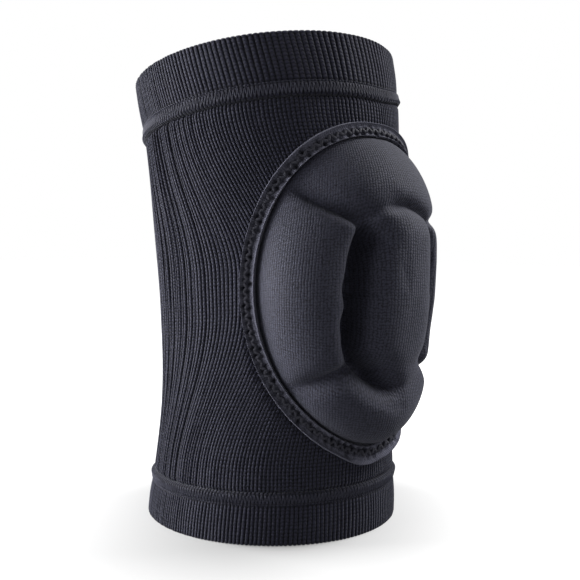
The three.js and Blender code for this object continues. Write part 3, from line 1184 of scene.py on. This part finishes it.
row_share = (fine_row - row_marks[row_below]) / np.diff(row_marks)[row_below]
fine_rows = blend(moved_rows[row_below], moved_rows[row_below + 1], row_share[:, None, None])
fine_column = np.arange(cushion_columns) / swell_column_step
column_before = fine_column.astype(int)
column_share = (fine_column - column_before)[None, :, None]
column_after = (column_before + 1) % coarse_columns
fine_move = blend(fine_rows[:, column_before], fine_rows[:, column_after], column_share)
cushion_points[dome_start:-1] += fine_move.reshape(-1, 3)
cushion_points[-1] += moved[-1]

ring_count = len(back_share) + 1 + cushion_rows
cushion_mesh = bpy.data.meshes.new("cushion")
cushion_mesh.from_pydata(cushion_points, [], capped_faces(ring_count, cushion_columns))
corner = np.zeros(len(cushion_mesh.loops), np.int32)
cushion_mesh.loops.foreach_get("vertex_index", corner)
fallen = cover_give * np.maximum(0, lobe_crowns["side"] - all_out)
given = fallen[:, None] * np.sin(np.arctan2(all_spots, cover_give_reach))
wale = (all_spots[:, 0] * cover_stretch + given[:, 0]) / cover_wale
course = (all_spots[:, 1] + given[:, 1]) / cover_course
cover_place = np.stack([wale, course], axis=1)[corner].astype(np.float32)
cushion_mesh.uv_layers.new(name="cloth").data.foreach_set("uv", cover_place.ravel())
cushion_mesh.shade_smooth()
cover_yarn = knit_material(
    "cover_yarn",
    (0.006, 0.006, 0.010, 1),
    (0.0420, 0.0430, 0.0665, 1),
    relief=0.2,
    shaded=False,
    roughness=0.79,
    shine=0.27,
    Bead=0.65,
    Column=0.6,
    Slant=0.2,
    Jitter=0.6,
    Fuzz=3.2,
)
cushion_mesh.materials.append(cover_yarn)
cushion = new_piece("cushion", cushion_mesh)
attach(cushion, "root")
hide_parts("knee_cushion")

# The floor, the light and the camera
# A white ground that glows brighter away from the pad, its glow dimmed in a patch round the pad and
# stretched towards the camera as a painted shadow, and four soft lights: a strong one at the left and
# a little behind, a weak one at the left, one higher at the right, and a faint fill near the camera.
floor_reach = 6.0
# The painted shadow on the floor: its turn, its size each way, and how its glow rises from the pad
# outwards.
shade_turn = np.radians(-45)
shade_size = (0.16, 0.34, 1)
shade_glow = {"From Min": 0.0, "From Max": 1.07, "To Min": 0.03, "To Max": 1.1}
floor_mesh = bpy.data.meshes.new("floor")
floor_mesh.from_pydata(
    [(x * floor_reach, y * floor_reach, 0.0) for x, y in ((-1, -1), (1, -1), (1, 1), (-1, 1))],
    [],
    [(0, 1, 2, 3)],
)


def show_by_rays(tree, seen, otherwise, output):
    """One shader for what the camera sees, and another for what lights the pad."""
    rays = add_node(tree, "ShaderNodeLightPath").outputs["Is Camera Ray"]
    mix = add_node(tree, "ShaderNodeMixShader", {0: rays, 1: otherwise.outputs[0], 2: seen.outputs[0]})
    tree.links.new(mix.outputs[0], tree.nodes[output].inputs["Surface"])


paper, paper_tree, paper_seen = new_material(
    "white_paper",
    {
        "Base Color": (0.40, 0.40, 0.40, 1),
        "Roughness": 1.0,
        "Specular IOR Level": 0.0,
        "Emission Color": (1, 1, 1, 1),
    },
)
# Painted shadow: the floor's glow is least at the pad and grows over an oval stretched towards the camera.
paper_place = add_node(paper_tree, "ShaderNodeTexCoord")
paper_turned = add_node(
    paper_tree,
    "ShaderNodeMapping",
    {
        "Vector": paper_place.outputs["Object"],
        "Location": (0, leg_axis_y * millimetre, 0),
        "Rotation": (0, 0, shade_turn),
        "Scale": shade_size,
    },
    vector_type="TEXTURE",
)
paper_away = add_node(
    paper_tree, "ShaderNodeVectorMath", {0: paper_turned.outputs[0]}, operation="LENGTH"
)
painted_shadow_glow = add_node(
    paper_tree,
    "ShaderNodeMapRange",
    {"Value": paper_away.outputs["Value"], **shade_glow},
)
paper_tree.links.new(painted_shadow_glow.outputs[0], paper_seen.inputs["Emission Strength"])
paper_bounce = add_node(paper_tree, "ShaderNodeBsdfDiffuse", {"Color": (0.25, 0.25, 0.25, 1)})
show_by_rays(paper_tree, paper_seen, paper_bounce, "Material Output")
floor_mesh.materials.append(paper)
floor_piece = new_piece("floor", floor_mesh)

world = bpy.data.worlds.new("studio")
world.use_nodes = True
bpy.context.scene.world = world
studio = world.node_tree
backdrop = studio.nodes["Background"]
backdrop.inputs["Color"].default_value = (1, 1, 1, 1)
backdrop.inputs["Strength"].default_value = 1.0
fill = add_node(studio, "ShaderNodeBackground", {"Color": (1, 1, 1, 1), "Strength": 0.02})
show_by_rays(studio, backdrop, fill, "World Output")


def towards(turn, rise):
    """The way out at a turn from the leg's front and a rise, and the level way across it."""
    out = np.array([np.sin(turn) * np.cos(rise), -np.cos(turn) * np.cos(rise), np.sin(rise)])
    return out, np.array([np.cos(turn), np.sin(turn), 0.0])


def posed(right, up, back, spot):
    """The pose of a camera or light at a spot, by the ways to its right, up and back."""
    pose = np.eye(4)
    pose[:3] = np.stack([right, up, back, spot], axis=1)
    return Matrix(pose.tolist())


camera_turn = np.radians(-43.9)
camera_away = 458.3
camera_height = 140.0
camera_out = towards(camera_turn, 0.0)[0]
camera_spot = np.array([0.0, leg_axis_y, camera_height]) + camera_away * camera_out
look_turn = np.radians(-45.0)
look_down = np.radians(2.94)
look_roll = np.radians(0.66)
back, level = towards(look_turn, look_down)
upright = np.cross(back, level)
camera_right = np.cos(look_roll) * level + np.sin(look_roll) * upright
camera_up = np.cos(look_roll) * upright - np.sin(look_roll) * level
camera_data = bpy.data.cameras.new("camera")
camera_data.sensor_width = 36.0
camera_data.lens = 53.2
camera_data.clip_start = 0.01
camera = new_piece("camera", camera_data)
camera.matrix_world = posed(camera_right, camera_up, back, camera_spot * millimetre)
bpy.context.scene.camera = camera
bpy.context.scene.view_settings.view_transform = "Standard"

pad_middle = np.array([0.0, 0.0, 0.12])
light_away = 1.15
lights = (
    {"name": "left_light", "turn": -144.0, "rise": 13.0, "size": 0.85, "power": 40.0},
    {"name": "side_light", "turn": -104.0, "rise": 10.0, "size": 0.6, "power": 4.6},
    {"name": "right_light", "turn": 62.0, "rise": 38.0, "size": 0.7, "power": 19.5},
    {"name": "front_fill", "turn": -18.0, "rise": 4.0, "size": 0.6, "power": 1.9},
)
for light in lights:
    lamp = bpy.data.lights.new(light["name"], "AREA")
    lamp.size = light["size"]
    lamp.energy = light["power"]
    back, side = towards(np.radians(light["turn"]), np.radians(light["rise"]))
    spot = pad_middle + light_away * back
    new_piece(light["name"], lamp).matrix_world = posed(side, np.cross(back, side), back, spot)
